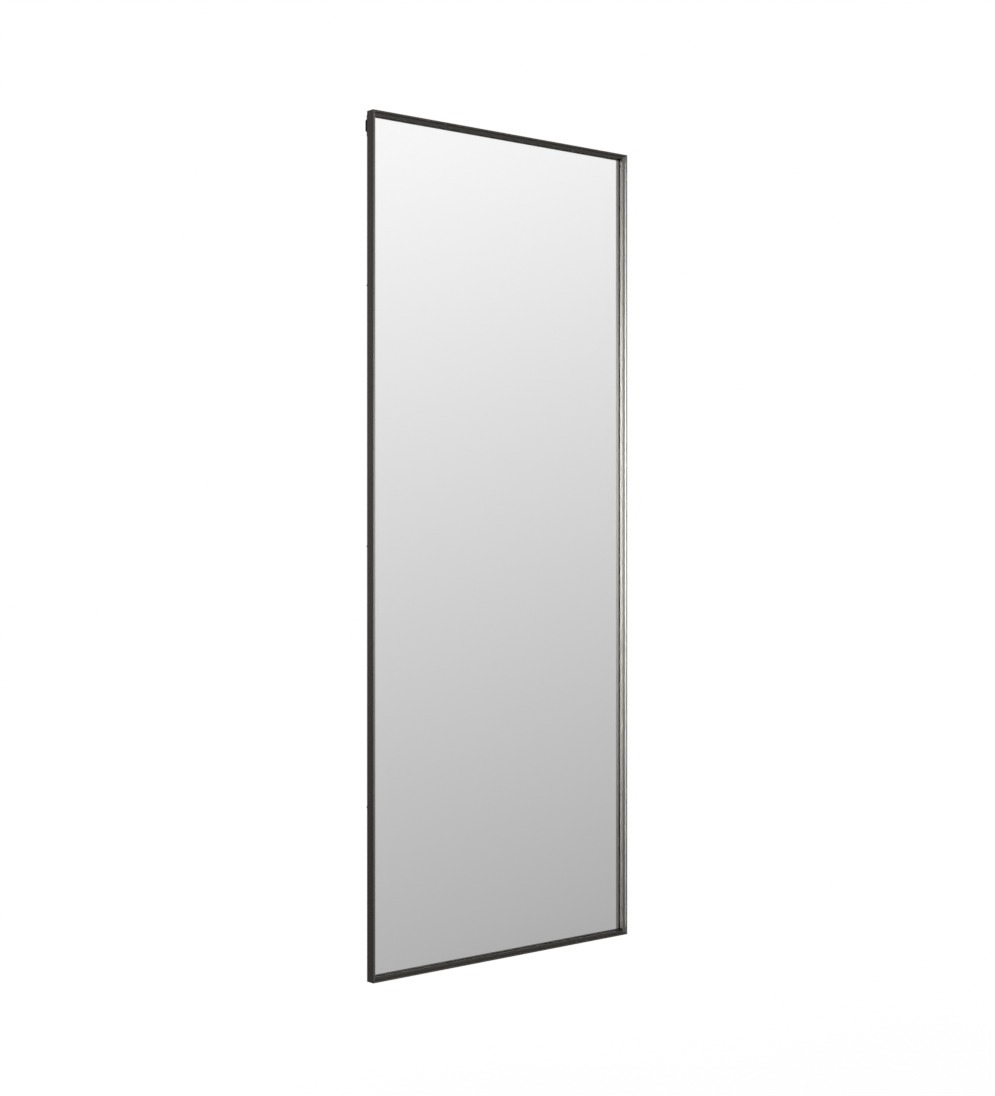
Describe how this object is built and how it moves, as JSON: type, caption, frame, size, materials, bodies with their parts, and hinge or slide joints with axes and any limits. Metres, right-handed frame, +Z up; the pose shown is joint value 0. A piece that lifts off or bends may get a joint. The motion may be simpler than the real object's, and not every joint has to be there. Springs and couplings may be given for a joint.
{
  "type": "wall mirror",
  "caption": "Tall rectangular wall mirror: glass set deep in a slim stepped tray frame of brushed dark bronze metal, hung on wall screws by a keyhole bar; turn buttons hold the back.",
  "frame": {"origin": "midway between the two keyhole entries, on the rear face of the hanging bar, which lies on the wall", "axes": "+Z up, +X to the right as seen from the front, +Y backwards into the wall; the glass faces -Y"},
  "size_m": [0.8, 0.032, 2],
  "materials": {
    "frame_metal": "brushed along each rail, anodised dark bronze",
    "key_metal": "die cast",
    "grub_steel": "blackened",
    "silvered_glass": "silvered on the back, front arrises ground",
    "film": "woven splinter film",
    "tape": "closed-cell foam",
    "block_rubber": "moulded, matte",
    "hardboard": "smooth pressed fibre",
    "zinc_plate": "stamped, zinc plated",
    "screw_steel": "zinc plated",
    "black_steel": "black powder coat",
    "buffer_rubber": "moulded, matte"
  },
  "bodies": {
    "frame": {"left_rail": "frame_metal", "right_rail": "frame_metal", "top_rail": "frame_metal", "bottom_rail": "frame_metal", "corner_key_bottom_left": "key_metal", "corner_key_top_left": "key_metal", "corner_key_top_right": "key_metal", "corner_key_bottom_right": "key_metal", "corner_grub_screws": "grub_steel", "mirror_glass": "silvered_glass", "safety_film": "film", "seating_tape_top": "tape", "seating_tape_bottom": "tape", "seating_tape_left": "tape", "seating_tape_right": "tape", "glass_setting_blocks": "block_rubber", "backing_board": "hardboard", "turn_button_screws": "screw_steel", "hanging_bar_screws": "screw_steel", "hanging_bar": "black_steel", "wall_buffer_left": "buffer_rubber", "wall_buffer_right": "buffer_rubber"},
    "turn_button_left_low": {"turn_button_left_low": "zinc_plate"},
    "turn_button_right_low": {"turn_button_right_low": "zinc_plate"},
    "turn_button_left_mid": {"turn_button_left_mid": "zinc_plate"},
    "turn_button_right_mid": {"turn_button_right_mid": "zinc_plate"},
    "turn_button_left_high": {"turn_button_left_high": "zinc_plate"},
    "turn_button_right_high": {"turn_button_right_high": "zinc_plate"},
    "turn_button_bottom_left": {"turn_button_bottom_left": "zinc_plate"},
    "turn_button_bottom_right": {"turn_button_bottom_right": "zinc_plate"}
  },
  "joints": [
    {"name": "turn_left_low_hinge", "type": "hinge", "parent": "frame", "child": "turn_button_left_low", "pos_m": [-0.397, -0.0062, -1.5635], "axis": [0, 1, 0], "range_deg": [-90, 90]},
    {"name": "turn_right_low_hinge", "type": "hinge", "parent": "frame", "child": "turn_button_right_low", "pos_m": [0.397, -0.0062, -1.5635], "axis": [0, 1, 0], "range_deg": [-90, 90]},
    {"name": "turn_left_mid_hinge", "type": "hinge", "parent": "frame", "child": "turn_button_left_mid", "pos_m": [-0.397, -0.0062, -0.9635], "axis": [0, 1, 0], "range_deg": [-90, 90]},
    {"name": "turn_right_mid_hinge", "type": "hinge", "parent": "frame", "child": "turn_button_right_mid", "pos_m": [0.397, -0.0062, -0.9635], "axis": [0, 1, 0], "range_deg": [-90, 90]},
    {"name": "turn_left_high_hinge", "type": "hinge", "parent": "frame", "child": "turn_button_left_high", "pos_m": [-0.397, -0.0062, -0.3635], "axis": [0, 1, 0], "range_deg": [-90, 90]},
    {"name": "turn_right_high_hinge", "type": "hinge", "parent": "frame", "child": "turn_button_right_high", "pos_m": [0.397, -0.0062, -0.3635], "axis": [0, 1, 0], "range_deg": [-90, 90]},
    {"name": "turn_bottom_left_hinge", "type": "hinge", "parent": "frame", "child": "turn_button_bottom_left", "pos_m": [-0.2, -0.0062, -1.9605], "axis": [0, 1, 0], "range_deg": [-90, 90]},
    {"name": "turn_bottom_right_hinge", "type": "hinge", "parent": "frame", "child": "turn_button_bottom_right", "pos_m": [0.2, -0.0062, -1.9605], "axis": [0, 1, 0], "range_deg": [-90, 90]}
  ]
}
